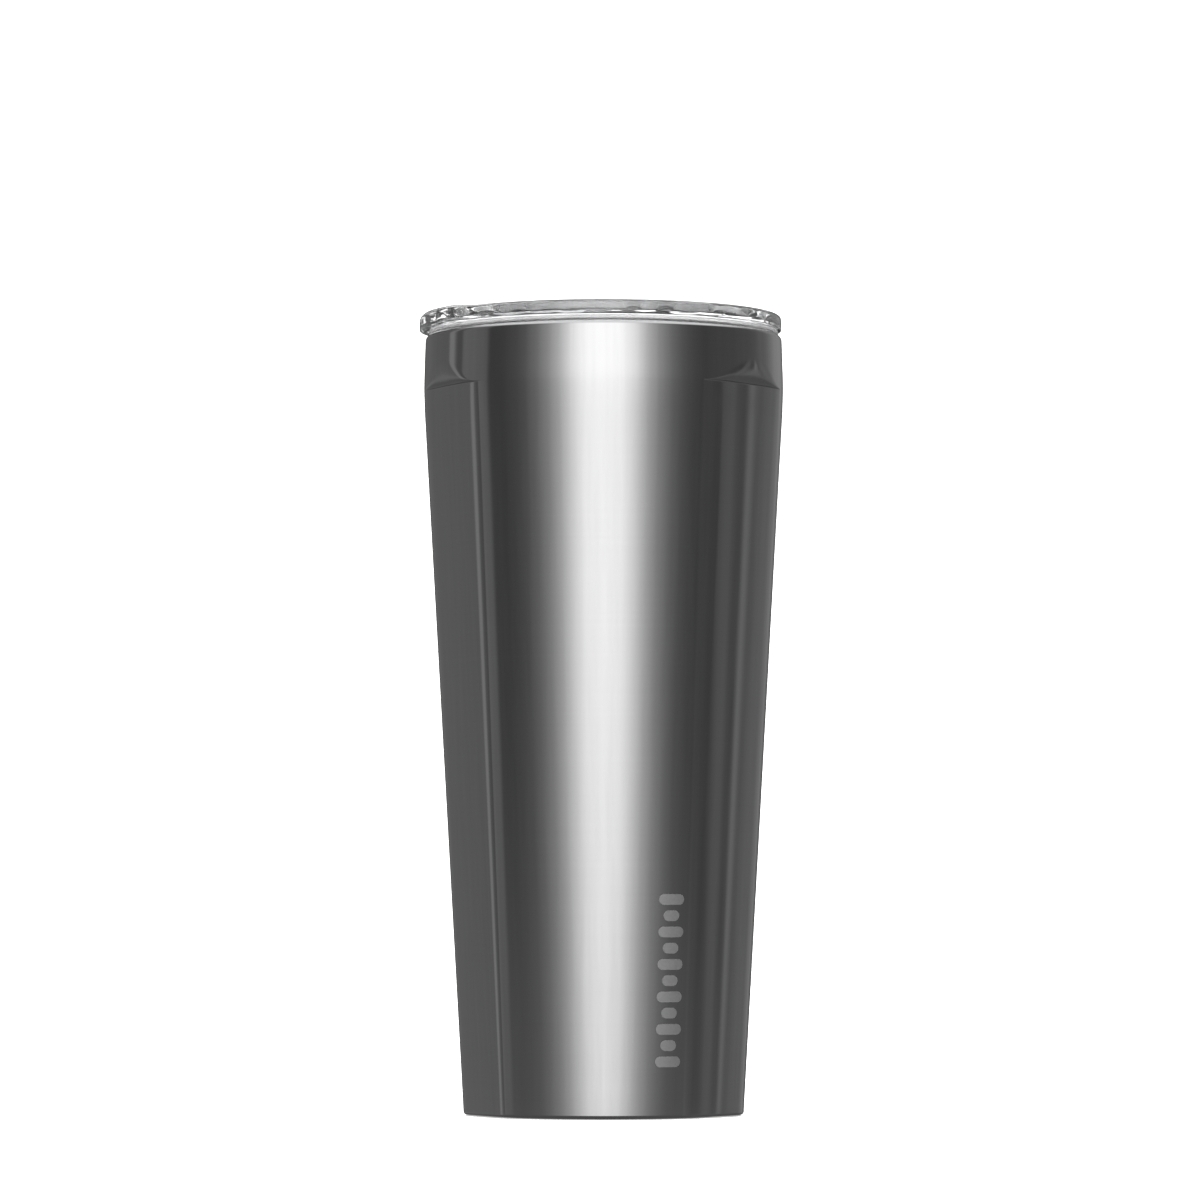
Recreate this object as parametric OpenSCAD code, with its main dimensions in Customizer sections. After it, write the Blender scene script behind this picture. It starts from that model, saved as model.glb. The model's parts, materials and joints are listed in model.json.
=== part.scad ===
// Insulated tumbler with a clear sliding lid.
// Double-wall steel vessel with three grip flats, a non-slip base pad, and a push-in lid.
// Millimetres. Origin on the surface it stands on, on the axis, +Z up, front of the tumbler on -Y.

/* [Vessel] */
// Height of the steel rim above the surface the tumbler stands on
vessel_h = 192.7; // [150:0.1:240]
// Diameter at the widest ring, below the top band
vessel_d = 88.8; // [72:0.1:110]
// Diameter at the foot, as if its corner were square
foot_d = 69; // [56:0.1:84]
// Height of the near-straight band above the widest ring
band_h = 14.6; // [10:0.2:16]
// How far the band draws in towards the rim, on the radius
band_draw = 0.5; // [0:0.05:0.6]
// Radius of the shoulder that turns in to the rim
shoulder_r = 1.5; // [1:0.1:2.2]
// Radius of the corner at the foot
foot_r = 0.8; // [0.6:0.1:1.5]
// Sheet thickness of the outer shell
shell_t = 0.5; // [0.4:0.05:0.8]
// Gap between the surface it stands on and the steel foot
foot_lift = 0.3; // [0.2:0.05:1]
// Width of the lip that the shell turns in under the base
foot_lip = 1.2; // [0.8:0.1:2]

/* [Grip flats] */
// How many flats there are around the body
flat_n = 3; // [2:1:4]
// Direction that the first flat faces, in degrees from +X
flat_turn = 85.5; // [0:0.5:120]
// Half of the angle that a flat takes from the round body
flat_half = 20; // [14:0.5:23]
// Distance from the rim down to where the flats have run out
flat_drop = 8; // [6:0.5:9]
// Height of the curve by which the round band stands out over a flat
flat_blend = 6; // [5:0.5:8]
// Width of the ledge at the bottom of that curve
flat_ledge = 0.4; // [0.3:0.1:1]

/* [Liner] */
// Width of the rim from the shell's outside to the bore of the mouth
rim_w = 3; // [2.6:0.1:5]
// Depth of the straight mouth that the lid plugs into
mouth_depth = 9; // [8:0.5:11]
// Height of the conical step below the mouth
mouth_step = 1.8; // [1:0.1:3]
// Sheet thickness of the liner
liner_t = 0.5; // [0.4:0.05:0.8]
// Vacuum gap between the liner and the inside of the flats
wall_gap = 1.2; // [0.9:0.1:3]
// Radius of the corner inside the bottom of the liner
floor_r = 5; // [3:0.5:10]
// Height of the pressed bottom cup, up to its weld to the liner wall
cup_h = 10; // [8:1:24]
// Thickness of the copper layer round the liner
copper_t = 0.15; // [0.1:0.05:0.3]
// Distance that the copper layer stops short of the cup weld and of the mouth step
copper_stop = 3; // [2:0.5:8]

/* [Base] */
// Thickness of the silicone pad
pad_t = 1.6; // [1:0.1:2.4]
// Width of the steel ring that shows around the pad
pad_margin = 3.6; // [3.2:0.1:8]
// Chamfer round the pad's face
pad_edge = 0.4; // [0.2:0.1:0.8]
// Radii of the grooves in the pad, as shares of its own radius
grooves = [0.5, 0.8]; // [0.2:0.05:0.9]
// Width of each groove
groove_w = 1.6; // [1:0.2:3]
// Depth of each groove
groove_d = 0.3; // [0.2:0.1:0.6]
// Thickness of the adhesive film
film_t = 0.2; // [0.1:0.05:0.4]
// Distance that the film stays inside the pad's edge
film_in = 0.5; // [0.2:0.1:2]
// Sheet thickness of the base cover
cover_t = 0.5; // [0.4:0.05:0.8]
// Space between the base cover and the vacuum base
cover_gap = 1.6; // [1.4:0.1:3]
// Thickness of the vacuum base
vac_t = 0.6; // [0.5:0.05:1]
// Height of the upturned edge that the vacuum base is welded by
vac_edge = 2.4; // [1.5:0.1:3]
// Thickness of the strap over the getter
strap_t = 0.2; // [0.1:0.05:0.4]
// Width of that strap
strap_w = 3; // [2:0.5:4]
// Length of each foot of that strap
strap_foot = 2.5; // [1.5:0.5:4]
// Space between the getter's strap and the bottom of the liner
getter_space = 2.4; // [1:0.1:6]
// Radius of the hole that the air is drawn out of
vent_r = 1; // [0.8:0.1:1.5]
// Radius of the glass bead that closes that hole
bead_r = 3; // [2.2:0.1:5]
// Radius of the getter pellet
getter_r = 4; // [3:0.5:6]
// Thickness of the getter pellet
getter_t = 1.6; // [1:0.1:2.2]
// Distance of the getter from the axis
getter_x = 15; // [10:0.5:20]

/* [Lid] */
// How far the lid stands out past the shell
lid_over = 0.2; // [0:0.1:2]
// Height of the lid's rim above its underside
lid_h = 3.7; // [3.4:0.1:6]
// Radius of the lid's top outer edge
lid_edge = 1; // [0.6:0.1:2]
// Width of the lid's rim across its top, from the outside
lid_rim_w = 2.9; // [2.6:0.1:3.4]
// Height of the deck above the lid's underside
deck_over = 1.5; // [0.5:0.1:2]
// Thickness of the deck
deck_t = 2.3; // [1.8:0.1:3]
// Width of the sloping wall between deck and rim
deck_slope = 2.8; // [1.5:0.1:3.2]
// Extra height of the lip that is drunk from
lip_rise = 0.7; // [0.3:0.1:1.5]
// How far that lip stands out past the rest of the lid
lip_over = 1.6; // [0.5:0.1:2.5]
// Radius of that lip's outline, seen from above
lip_round = 37; // [30:0.5:39]
// Radius of that lip's top outer edge
lip_edge = 2.3; // [1:0.1:2.8]
// Chamfer on the lid's small edges
lid_break = 0.4; // [0.2:0.1:0.5]
// Thickness of the plug's skirt
skirt_t = 1.8; // [1.2:0.1:2.5]
// Distance that the skirt ends above the step in the mouth
skirt_stop = 0.7; // [0.3:0.1:2]
// How far the bead on the skirt stands out to hold the gasket
skirt_bead = 1.1; // [0.6:0.1:1.6]
// Height of that bead
skirt_bead_h = 1.5; // [1:0.1:2]

/* [Gasket] */
// Width left for the gasket between the plug and the mouth
gasket_w = 2.7; // [2:0.1:4]
// Thickness of the gasket's sleeve
gasket_t = 1.7; // [1:0.1:1.9]
// Thickness of the gasket's lip, which sits on the steel rim
gasket_lip_t = 1; // [0.8:0.1:2]
// Distance that the lip's edge stays inside the shell's outside
gasket_inset = 0.6; // [0.2:0.1:1.2]
// Number of sealing fins
fin_n = 2; // [1:1:3]
// Thickness of each fin at its edge, as a share of the space for one fin
fin_share = 0.22; // [0.1:0.02:0.3]
// Chamfer on the gasket's edges
gasket_edge = 0.3; // [0.1:0.1:0.4]

/* [Slider] */
// Distance that the closed slider reaches past the slot
slider_cover = 2; // [1:0.1:3]
// Width of the slider on each side of the seal
slider_side = 2.3; // [1.5:0.1:4]
// Thickness of the slider
slider_t = 1.6; // [1.4:0.1:2.2]
// Radius of the slider's corners, in plan
slider_r = 3; // [1:0.5:6]
// Width of the deck between the drinking hole and the slot
bridge_w = 5.1; // [4:0.1:7]
// Depth of the channel that the slider runs in
channel_d = 0.8; // [0.4:0.1:1.2]
// Height of the thumb ridge on the slider
ridge_h = 1.2; // [0.8:0.1:2]
// Length of the thumb ridge, across the slider
ridge_l = 15; // [8:1:20]
// Width of the thumb ridge
ridge_w = 3.2; // [2:0.1:5]
// Gap to the low ridge on each side of it
ridge_gap = 1.9; // [1:0.1:3]
// Length of the drinking hole, across the slider
sip_l = 17; // [12:0.5:18]
// Width of the drinking hole
sip_w = 8; // [5:0.5:10]
// Width of the slider in front of the seal
sip_front = 1.7; // [1.4:0.1:4]
// Radius of the air hole
air_r = 1.2; // [0.8:0.1:2]
// Border of the seal around the drinking hole
seal_border = 1.2; // [0.8:0.1:1.4]
// Thickness of the seal
seal_t = 0.85; // [0.5:0.05:1.2]
// Length of the post that holds the slider down
post_l = 6; // [4:0.5:7]
// Width of that post
post_w = 4.6; // [3:0.1:6]
// Length of the clip at each end of the post
clip_end = 3; // [2:0.1:4]
// Width of the clip on each side of the post
clip_side = 4.7; // [3:0.1:7]
// Thickness of the clip
clip_t = 1.4; // [1:0.1:2]
// Radius of the clip's corners, in plan
clip_r = 2; // [1:0.5:3]
// Height of the post's foot, which holds the clip on
barb_h = 0.7; // [0.5:0.1:1]
// How far that foot stands out past the post
barb_w = 0.5; // [0.3:0.1:0.8]

/* [Fits] */
// Running clearance between the lid, its gasket and the mouth
seal_gap = 0.05; // [0.03:0.01:0.1]
// Clearance round the slider in its channel
run_gap = 0.2; // [0.1:0.05:0.4]
// Clearance under the slider and over the clip
lift_gap = 0.1; // [0.05:0.01:0.2]
// Clearance between pieces that are pressed together
press_gap = 0.04; // [0.02:0.01:0.08]

/* [Hidden] */
$fn = 96;
// How far a cut runs past a face, and how far joined shapes run into each other
cut = 1;
root = 0.2;
tiny = 0.01;

// Vessel
foot_rad = foot_d / 2;
wide_rad = vessel_d / 2;
top_rad = wide_rad - band_draw;
wide_z = vessel_h - band_h;
flat_share = cos(flat_half);
flat_top = vessel_h - flat_drop;
flat_full = flat_top - flat_blend;
mouth_rad = top_rad - rim_w;
step_top = vessel_h - mouth_depth;
step_low = step_top - mouth_step;

// Heights in the base, from the surface up
pad_rad = flat_share * foot_rad - pad_margin;
film_z = pad_t;
cover_z = film_z + film_t;
vac_z = cover_z + cover_t + cover_gap;
cup_z = vac_z + vac_t + getter_t + press_gap + strap_t + getter_space;
weld_z = cup_z + liner_t + cup_h;

// Lid
lid_z = vessel_h + gasket_lip_t + 2 * seal_gap;
lid_rad = top_rad + lid_over;
lid_top = lid_z + lid_h;
rim_rad = lid_rad - lid_rim_w;
deck_z = lid_z + deck_over;
deck_rad = rim_rad - deck_slope;
under_z = deck_z - deck_t;
plug_rad = mouth_rad - gasket_w;
skirt_z = step_top + skirt_stop;
gasket_rad = plug_rad + seal_gap;
gasket_z = skirt_z + skirt_bead_h + seal_gap;
gasket_top = lid_z - seal_gap;

// Slider
channel_z = deck_z - channel_d;
channel_rad = plug_rad - skirt_t / 2;
slider_z = channel_z + lift_gap;
slider_front = channel_rad - run_gap;
slider_w = sip_l + 2 * (seal_border + slider_side);
sip_x = slider_front - sip_front - seal_border - sip_w / 2;
slider_travel = sip_front + seal_border + sip_w + bridge_w;
slider_l = 2 * slider_travel + post_l + slider_cover;
post_x = slider_front - slider_travel;
slot_gap = run_gap + press_gap;
clip_z = under_z - 2 * lift_gap - clip_t;

// Radius of the outer form at a height
function form_rad(z) = z < wide_z
    ? foot_rad + (wide_rad - foot_rad) * (z - foot_lift) / (wide_z - foot_lift)
    : wide_rad + (top_rad - wide_rad) * (z - wide_z) / (vessel_h - wide_z);

// Outer radius of the liner below the mouth, kept clear of the flats
function liner_rad(z) = flat_share * form_rad(z) - shell_t - wall_gap;

// Points of an arc in the plane, from one angle to another
function arc(x, y, r, a, b, n = 8) = [
    for (i = [0:n]) let (t = a + (b - a) * i / n) [x + r * cos(t), y + r * sin(t)]
];

// Half section of the whole outer form, drawn in by an inset
function form_section(inset) = let (
        low_r = max(foot_r - inset, root / 2),
        top_r = max(shoulder_r - inset, root / 2),
        low = foot_lift + inset,
        high = vessel_h - inset
    ) concat(
        [[0, low]],
        arc(form_rad(low + low_r) - inset - low_r, low + low_r, low_r, -90, 0),
        [[wide_rad - inset, wide_z]],
        arc(form_rad(high - top_r) - inset - top_r, high - top_r, top_r, 0, 90),
        [[0, high]]
    );

// Half section of a slice of the outer form, with square ends
function slice_section(inset, low, high) = [
    [0, low], [form_rad(low) - inset, low], [form_rad(high) - inset, high], [0, high]
];

// What is cut away to leave the flats, on the form drawn in by an inset
module flats(inset) {
    reach = 2 * wide_rad;
    flat_x = flat_share * form_rad(flat_full);
    curve_w = form_rad(flat_top) - flat_x - flat_ledge - inset + tiny;
    curve_h = flat_blend - inset;
    for (i = [0:flat_n - 1])
        rotate([0, 0, flat_turn + i * 360 / flat_n])
            translate([0, reach, 0])
                rotate([90, 0, 0])
                    linear_extrude(2 * reach)
                        polygon(concat(
                            [[flat_share * form_rad(-cut) - inset, -cut]],
                            [[flat_x - inset, flat_full + inset]],
                            [for (t = [90:-15:0])
                                [flat_x + flat_ledge + curve_w * cos(t), flat_top - curve_h * sin(t)]],
                            [[reach, flat_top], [reach, -cut]]
                        ));
}

// Slice of the form with its flats, as a solid
module form_slice(inset, low, high) {
    difference() {
        rotate_extrude()
            polygon(slice_section(inset, low, high));
        flats(inset);
    }
}

// Rectangle with round corners, centred
module round_rect(l, w, r) {
    square([l - 2 * r, w], center = true);
    square([l, w - 2 * r], center = true);
    for (x = [-1, 1], y = [-1, 1])
        translate([x * (l / 2 - r), y * (w / 2 - r)])
            circle(r);
}

// Long hole across the slider
module sip_shape(border) {
    round_rect(sip_w + 2 * border, sip_l + 2 * border, sip_w / 2 + border - tiny);
}

// Drawn steel shell with its flats, open at the mouth and under the base
module outer_shell() {
    color("DimGray")
        difference() {
            rotate_extrude()
                polygon(form_section(0));
            flats(0);
            difference() {
                rotate_extrude()
                    polygon(form_section(shell_t));
                flats(shell_t);
            }
            translate([0, 0, vessel_h - shell_t - cut])
                cylinder(r = mouth_rad + liner_t, h = shell_t + 2 * cut);
            form_slice(shell_t + foot_lip, foot_lift - cut, foot_lift + shell_t + root);
        }
}

// Liner wall: straight mouth, conical step and long taper
module liner_wall() {
    step_rad = liner_rad(step_low);
    color("Silver")
        rotate_extrude()
            polygon([
                [liner_rad(weld_z) - liner_t, weld_z],
                [liner_rad(weld_z), weld_z],
                [step_rad, step_low],
                [mouth_rad + liner_t, step_top],
                [mouth_rad + liner_t, vessel_h],
                [mouth_rad, vessel_h],
                [mouth_rad, step_top],
                [step_rad - liner_t, step_low]
            ]);
}

// Pressed bottom of the liner, welded to its wall
module liner_cup() {
    out_r = floor_r + liner_t;
    base_rad = liner_rad(cup_z + out_r);
    color("Silver")
        rotate_extrude()
            polygon(concat(
                [[0, cup_z]],
                arc(base_rad - out_r, cup_z + out_r, out_r, -90, 0),
                [[liner_rad(weld_z), weld_z], [liner_rad(weld_z) - liner_t, weld_z]],
                arc(base_rad - out_r, cup_z + out_r, floor_r, 0, -90),
                [[0, cup_z + liner_t]]
            ));
}

// Thin copper layer that lies on the liner wall, inside the vacuum
module copper_wrap() {
    low = weld_z + copper_stop;
    high = step_low - copper_stop;
    color("Peru")
        rotate_extrude()
            polygon([
                [liner_rad(low), low],
                [liner_rad(low) + copper_t, low],
                [liner_rad(high) + copper_t, high],
                [liner_rad(high), high]
            ]);
}

// Vacuum base: a dish welded into the shell, with a hole in a shallow well
module vacuum_base() {
    color("Silver")
        difference() {
            form_slice(shell_t + press_gap, vac_z, vac_z + vac_t + vac_edge);
            form_slice(shell_t + press_gap + vac_t, vac_z + vac_t, vac_z + vac_t + vac_edge + cut);
            translate([0, 0, vac_z - cut])
                cylinder(r = vent_r, h = vac_t + 2 * cut);
            translate([0, 0, vac_z - cut])
                cylinder(r = bead_r + press_gap, h = vac_t / 2 + cut);
        }
}

// Glass bead that closes the hole after the air is out
module seal_bead() {
    dome_h = cover_gap / 2;
    dome_r = (bead_r * bead_r + dome_h * dome_h) / (2 * dome_h);
    color("SlateGray")
        union() {
            translate([0, 0, vac_z])
                cylinder(r = bead_r, h = vac_t / 2);
            translate([0, 0, vac_z])
                cylinder(r = vent_r - press_gap, h = vac_t);
            intersection() {
                translate([0, 0, vac_z - dome_h + dome_r])
                    sphere(dome_r);
                translate([0, 0, vac_z - dome_h - cut])
                    cylinder(r = bead_r, h = dome_h + cut);
            }
        }
}

// Getter pellet, which keeps the vacuum clean
module getter_pellet() {
    color("DarkSlateGray")
        translate([getter_x, 0, vac_z + vac_t])
            cylinder(r = getter_r, h = getter_t);
}

// Strap over the pellet, spot-welded to the vacuum base at both feet
module getter_clip() {
    half = getter_r + press_gap;
    base_z = vac_z + vac_t;
    color("LightSteelBlue")
        translate([getter_x, 0, base_z]) {
            translate([-strap_w / 2, -half - strap_t, getter_t + press_gap])
                cube([strap_w, 2 * (half + strap_t), strap_t]);
            for (side = [0, 1])
                mirror([0, side, 0]) {
                    translate([-strap_w / 2, half, 0])
                        cube([strap_w, strap_t, getter_t + press_gap + strap_t]);
                    translate([-strap_w / 2, half, 0])
                        cube([strap_w, strap_foot, strap_t]);
                }
        }
}

// Base cover: a ring on the shell's lip, a recess for the pad and a plate above it
module base_cover() {
    ring_z = foot_lift + shell_t + press_gap;
    edge_top = vac_z - press_gap;
    recess_rad = pad_rad + run_gap;
    color("DarkGray")
        difference() {
            form_slice(shell_t + press_gap, ring_z, edge_top);
            difference() {
                form_slice(shell_t + press_gap + cover_t, ring_z + cover_t, edge_top + cut);
                cylinder(r = recess_rad + cover_t, h = cover_z + cover_t);
            }
            translate([0, 0, -cut])
                cylinder(r = recess_rad, h = cover_z + cut);
        }
}

// Film of adhesive that holds the pad
module pad_film() {
    color("Ivory")
        translate([0, 0, film_z])
            cylinder(r = pad_rad - film_in, h = film_t);
}

// Non-slip silicone pad, with shallow rings in its face
module base_pad() {
    color("DimGray")
        difference() {
            rotate_extrude()
                polygon([
                    [0, 0], [pad_rad - pad_edge, 0], [pad_rad, pad_edge], [pad_rad, pad_t], [0, pad_t]
                ]);
            for (share = grooves)
                translate([0, 0, -cut])
                    difference() {
                        cylinder(r = share * pad_rad + groove_w / 2, h = cut + groove_d);
                        translate([0, 0, -cut])
                            cylinder(r = share * pad_rad - groove_w / 2, h = 3 * cut + groove_d);
                    }
        }
}

// Clear silicone gasket: lip on the rim, sleeve on the plug, fins against the mouth
module lid_gasket() {
    lip_low = vessel_h + seal_gap;
    lip_rad = top_rad - gasket_inset;
    sleeve_rad = gasket_rad + gasket_t;
    fin_rad = mouth_rad - seal_gap;
    pitch = (lip_low - gasket_z) / (fin_n + 1);
    fin_t = fin_share * pitch;
    color("WhiteSmoke")
        rotate_extrude()
            polygon(concat(
                [[gasket_rad, gasket_z], [sleeve_rad - gasket_edge, gasket_z]],
                [for (i = [0:fin_n - 1], k = [-1:2])
                    [k == 0 || k == 1 ? fin_rad : sleeve_rad, gasket_z + (i + 0.5) * pitch + k * fin_t]],
                [[sleeve_rad, lip_low], [lip_rad - gasket_edge, lip_low], [lip_rad, lip_low + gasket_edge],
                 [lip_rad, gasket_top - gasket_edge], [lip_rad - gasket_edge, gasket_top],
                 [gasket_rad, gasket_top]]
            ));
}

// Half section of the lid: rim, sloping wall, deck, skirt and bead
function lid_section() = concat(
    [[0, under_z], [plug_rad - skirt_t, under_z], [plug_rad - skirt_t, skirt_z],
     [plug_rad + skirt_bead - lid_break, skirt_z], [plug_rad + skirt_bead, skirt_z + lid_break],
     [plug_rad + skirt_bead, skirt_z + skirt_bead_h], [plug_rad, skirt_z + skirt_bead_h],
     [plug_rad, lid_z], [lid_rad - lid_break, lid_z], [lid_rad, lid_z + lid_break]],
    arc(lid_rad - lid_edge, lid_top - lid_edge, lid_edge, 0, 90),
    [[rim_rad + lid_break, lid_top], [rim_rad, lid_top - lid_break], [deck_rad, deck_z], [0, deck_z]]
);

// Crescent on the drinking side, raised and standing out, open over the deck
module drinking_lip() {
    high = lid_top + lip_rise;
    inner = rim_rad + root;
    difference() {
        translate([lip_round - lid_rad - lip_over, 0, 0])
            rotate_extrude()
                polygon(concat(
                    [[0, lid_z], [lip_round - lid_break, lid_z], [lip_round, lid_z + lid_break]],
                    arc(lip_round - lip_edge, high - lip_edge, lip_edge, 0, 90),
                    [[0, high]]
                ));
        rotate_extrude()
            polygon([
                [0, lid_z - cut], [inner, lid_z - cut], [inner, high - lid_break],
                [inner + lid_break + cut, high + cut], [0, high + cut]
            ]);
    }
}

// Clear lid with its channel, drinking hole, air hole and slot for the slider's post
module lid_body() {
    color("AliceBlue", 0.5)
        difference() {
            union() {
                rotate_extrude()
                    polygon(lid_section());
                drinking_lip();
            }
            translate([0, 0, channel_z])
                linear_extrude(channel_d + cut)
                    intersection() {
                        circle(channel_rad);
                        translate([-channel_rad, -slider_w / 2 - run_gap])
                            square([slider_l + slider_travel + 2 * run_gap, slider_w + 2 * run_gap]);
                    }
            translate([-sip_x, 0, under_z - cut])
                linear_extrude(deck_t + 2 * cut)
                    sip_shape(0);
            translate([sip_x, 0, under_z - cut])
                cylinder(r = air_r, h = deck_t + 2 * cut);
            translate([-post_x - slot_gap, -post_w / 2 - slot_gap, under_z - cut])
                cube([post_l + slider_travel + 2 * slot_gap, post_w + 2 * slot_gap, deck_t + 2 * cut]);
        }
}

// Outline of the slider, drawn where it is when open
module slider_shape() {
    translate([slider_travel, 0])
        intersection() {
            circle(slider_front);
            translate([slider_l / 2 - slider_front, 0])
                round_rect(slider_l, slider_w, slider_r);
        }
}

// Clear slider with its thumb ridge and the post that goes through the slot
module lid_slider() {
    post_low = clip_z - barb_h;
    ridge_x = slider_travel + slider_l / 2 - slider_front;
    color("LightCyan", 0.6)
        difference() {
            union() {
                translate([0, 0, slider_z])
                    linear_extrude(slider_t)
                        slider_shape();
                for (dx = [-1, 0, 1])
                    translate([ridge_x + dx * (ridge_w + ridge_gap), 0, slider_z + slider_t - root])
                        linear_extrude((dx == 0 ? ridge_h : ridge_h / 2) + root)
                            round_rect(ridge_w, ridge_l, ridge_w / 2 - tiny);
                translate([slider_travel - post_x, -post_w / 2, post_low])
                    cube([post_l, post_w, slider_z - post_low + root]);
                translate([slider_travel - post_x - barb_w, -post_w / 2, post_low])
                    cube([post_l + 2 * barb_w, post_w, barb_h - press_gap]);
            }
            translate([slider_travel - sip_x, 0, slider_z - cut])
                linear_extrude(seal_t - lift_gap / 2 + cut)
                    sip_shape(seal_border + press_gap);
        }
}

// Clip that is pushed on to the post from below and runs under the deck
module slider_clip() {
    color("Gainsboro")
        translate([slider_travel - post_x + post_l / 2, 0, clip_z])
            linear_extrude(clip_t)
                difference() {
                    round_rect(post_l + 2 * clip_end, post_w + 2 * clip_side, clip_r);
                    square([post_l + 2 * press_gap, post_w + 2 * press_gap], center = true);
                }
}

// Silicone seal in the slider's underside, which covers the drinking hole when closed
module slider_seal() {
    color("White")
        translate([slider_travel - sip_x, 0, slider_z - lift_gap / 2])
            linear_extrude(seal_t)
                sip_shape(seal_border);
}

outer_shell();
liner_wall();
liner_cup();
copper_wrap();
vacuum_base();
seal_bead();
getter_pellet();
getter_clip();
base_cover();
pad_film();
base_pad();
lid_gasket();
lid_body();
lid_slider();
slider_clip();
slider_seal();
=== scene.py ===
import json
import math
import bpy
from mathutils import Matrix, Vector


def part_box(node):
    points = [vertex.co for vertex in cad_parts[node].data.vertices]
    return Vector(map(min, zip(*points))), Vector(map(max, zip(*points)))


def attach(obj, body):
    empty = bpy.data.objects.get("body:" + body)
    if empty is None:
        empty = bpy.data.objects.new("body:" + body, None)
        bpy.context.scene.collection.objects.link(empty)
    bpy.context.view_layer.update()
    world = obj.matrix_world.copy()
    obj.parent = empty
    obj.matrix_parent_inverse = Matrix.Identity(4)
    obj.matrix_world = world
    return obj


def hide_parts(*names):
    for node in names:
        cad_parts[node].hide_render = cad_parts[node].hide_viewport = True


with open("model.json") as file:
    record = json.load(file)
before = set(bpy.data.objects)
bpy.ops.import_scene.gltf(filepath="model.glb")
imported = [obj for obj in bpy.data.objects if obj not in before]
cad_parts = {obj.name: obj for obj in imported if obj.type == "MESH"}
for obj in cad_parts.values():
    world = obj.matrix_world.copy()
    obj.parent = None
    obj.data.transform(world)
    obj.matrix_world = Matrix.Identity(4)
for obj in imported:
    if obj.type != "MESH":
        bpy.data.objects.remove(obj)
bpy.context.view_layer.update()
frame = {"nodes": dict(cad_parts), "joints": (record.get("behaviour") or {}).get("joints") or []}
cadNodes = frame["nodes"]
mm = 0.001
print("frame loaded")

# Camera, a long lens a little above the foot of the tumbler, looking slightly up
cameraSet = {
    "distance": 1.45,      # metres from the axis
    "height": 0.0485,
    "aside": -0.0009,      # puts the tumbler a hair right of the middle
    "lookUp": 3.106,       # degrees
    "lens": 176.0,
    "sensor": 36.0,
}
cameraData = bpy.data.cameras.new("studioCamera")
cameraData.lens = cameraSet["lens"]
cameraData.sensor_width = cameraSet["sensor"]
studioCamera = bpy.data.objects.new("studioCamera", cameraData)
studioCamera.location = (cameraSet["aside"], -cameraSet["distance"], cameraSet["height"])
studioCamera.rotation_euler = (math.radians(90 + cameraSet["lookUp"]), 0, 0)
bpy.context.collection.objects.link(studioCamera)
bpy.context.scene.camera = studioCamera
bpy.context.scene.view_settings.view_transform = "Standard"
print("camera placed")

# Sizes that several pieces share, all in millimetres, most of them read off the CAD pieces
def lowOf(node, axis):
    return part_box(node)[0][axis] / mm


def highOf(node, axis):
    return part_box(node)[1][axis] / mm


def jointEnd(name):
    # how far a sliding joint goes
    return [joint for joint in frame["joints"] if joint["name"] == name][0]["range_m"][1] / mm


rimZ = highOf("outer_shell", 2)
footZ = lowOf("outer_shell", 2)
sheet = 0.5                                 # shell and liner are both half a millimetre thick
sealGap = 0.05                              # clearance on each side of the gasket
tiny = 0.01                                 # keeps cuts and round ends clear of each other
mouthOuter = highOf("liner_wall", 0)        # the liner's mouth, outside
mouthInner = mouthOuter - sheet
lidRadius = highOf("lid_body", 0)
lidUnder = highOf("lid_gasket", 2) + sealGap
padRadius = highOf("base_pad", 0)


# Mesh helpers
def meshObject(name, points, faces, sharpAngle=35):
    mesh = bpy.data.meshes.new(name)
    mesh.from_pydata([(x * mm, y * mm, z * mm) for x, y, z in points], [], faces)
    mesh.validate()
    mesh.shade_smooth()
    mesh.set_sharp_from_angle(angle=math.radians(sharpAngle))
    made = bpy.data.objects.new(name, mesh)
    bpy.context.collection.objects.link(made)
    return made


def ringFaces(rows, count, closed):
    faces = []
    for row in range(rows if closed else rows - 1):
        low = row * count
        high = ((row + 1) % rows) * count
        for k in range(count):
            nextK = (k + 1) % count
            faces.append((low + k, low + nextK, high + nextK, high + k))
    return faces


def quarterTurn(steps):
    # angles of a quarter circle, both ends included, in radians
    return [math.pi / 2 * k / steps for k in range(steps + 1)]


def arcPoints(x, y, radius, start, end, steps=6):
    # points of an arc, both ends included, angles in degrees
    points = []
    for i in range(steps + 1):
        angle = math.radians(start + (end - start) * i / steps)
        points.append((x + radius * math.cos(angle), y + radius * math.sin(angle)))
    return points


def roundedProfile(corners, steps=4):
    # corners are (r, z, fillet); each fillet is rounded, the profile is closed
    points = []
    total = len(corners)
    for i, (x, y, fillet) in enumerate(corners):
        if fillet <= 0:
            points.append((x, y))
            continue
        px, py, _ = corners[i - 1]
        nx, ny, _ = corners[(i + 1) % total]
        ax, ay = px - x, py - y
        bx, by = nx - x, ny - y
        la, lb = math.hypot(ax, ay), math.hypot(bx, by)
        ax, ay, bx, by = ax / la, ay / la, bx / lb, by / lb
        half = math.acos(max(-1, min(1, ax * bx + ay * by))) / 2
        cut = min(fillet / math.tan(half), la * 0.49, lb * 0.49)    # never past a side's middle
        radius = cut * math.tan(half)
        mx, my = ax + bx, ay + by
        ml = math.hypot(mx, my)
        away = radius / math.sin(half)
        cx, cy = x + mx / ml * away, y + my / ml * away
        start = math.atan2(y + ay * cut - cy, x + ax * cut - cx)
        end = math.atan2(y + by * cut - cy, x + bx * cut - cx)
        turn = (end - start + math.pi) % (2 * math.pi) - math.pi
        for k in range(steps + 1):
            angle = start + turn * k / steps
            points.append((cx + radius * math.cos(angle), cy + radius * math.sin(angle)))
    return points


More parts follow.
